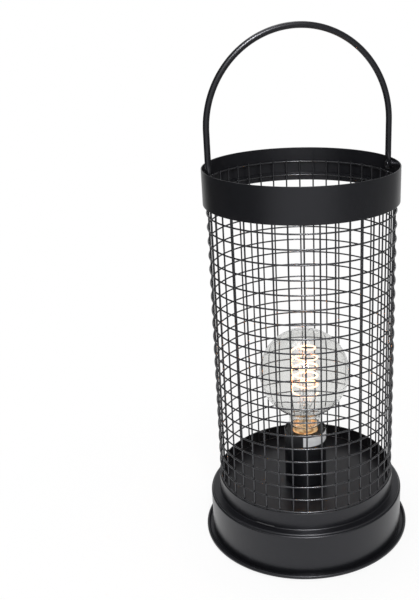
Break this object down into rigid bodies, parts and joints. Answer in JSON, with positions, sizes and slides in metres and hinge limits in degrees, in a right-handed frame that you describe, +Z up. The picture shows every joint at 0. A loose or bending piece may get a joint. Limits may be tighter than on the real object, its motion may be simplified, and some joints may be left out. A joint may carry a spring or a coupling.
{
  "type": "table lamp",
  "caption": "Lantern table lamp: a round wire-mesh cage between a stepped black base and a plain band, with a swinging arched handle and a globe bulb that screws out of its holder.",
  "frame": {"origin": "middle of the lamp's underside, on the surface that its feet stand on", "axes": "+Z up along the axis of the cage and the bulb; -Y towards the front, with the cord entry at +Y"},
  "size_m": [0.2224, 0.2224, 0.531],
  "materials": {
    "black_paint": "satin black powder coat",
    "zinc": "zinc plated",
    "rubber": "matt",
    "black_moulding": "moulded, satin",
    "brass": "bright",
    "label": "blank silver-white sticker",
    "clear_glass": "clear",
    "cap_brass": "bright",
    "black_glass": "black",
    "solder": "solder",
    "lead_wire": "bright drawn wire",
    "filament": "glowing"
  },
  "bodies": {
    "base": {"base_shell": "black_paint", "floor_plate": "black_paint", "bottom_tray": "black_paint", "foot_1": "rubber", "foot_2": "rubber", "foot_3": "rubber", "foot_4": "rubber", "fixing_tab_1": "zinc", "fixing_tab_2": "zinc", "fixing_tab_3": "zinc", "tray_screw_1": "zinc", "tray_screw_2": "zinc", "tray_screw_3": "zinc", "cord_bushing": "rubber", "cage_hoops": "black_paint", "cage_uprights": "black_paint", "top_band": "black_paint", "pin_left": "zinc", "pin_right": "zinc", "spacer_left": "zinc", "spacer_right": "zinc", "holder_cup": "black_paint", "holder_body": "black_moulding", "screw_shell": "brass", "centre_contact": "brass", "nipple": "zinc", "nipple_washer": "zinc", "nipple_nut": "zinc", "holder_label": "label"},
    "handle": {"handle_bail": "black_paint"},
    "bulb_lift": {"cap_contact": "solder"},
    "bulb": {"bulb_glass": "clear_glass", "bulb_cap": "cap_brass", "cap_insulator": "black_glass", "bulb_stem": "clear_glass", "lead_wires": "lead_wire", "filament": "filament"}
  },
  "joints": [
    {"name": "handle_swing", "type": "hinge", "parent": "base", "child": "handle", "pos_m": [0, 0, 0.394], "axis": [0.9511, 0.309, 0], "range_deg": [-54, 54]},
    {"name": "bulb_rise", "type": "slide", "parent": "base", "child": "bulb_lift", "axis": [0, 0, 1], "range_m": [0, 0.01452]},
    {"name": "bulb_turn", "type": "hinge", "parent": "bulb_lift", "child": "bulb", "pos_m": [0, 0, 0.18], "axis": [0, 0, 1], "range_deg": [0, 1445]}
  ],
  "couplings": [
    {"joint": "bulb_turn", "follows": "bulb_rise", "rad_per_m": 1731.4}
  ]
}
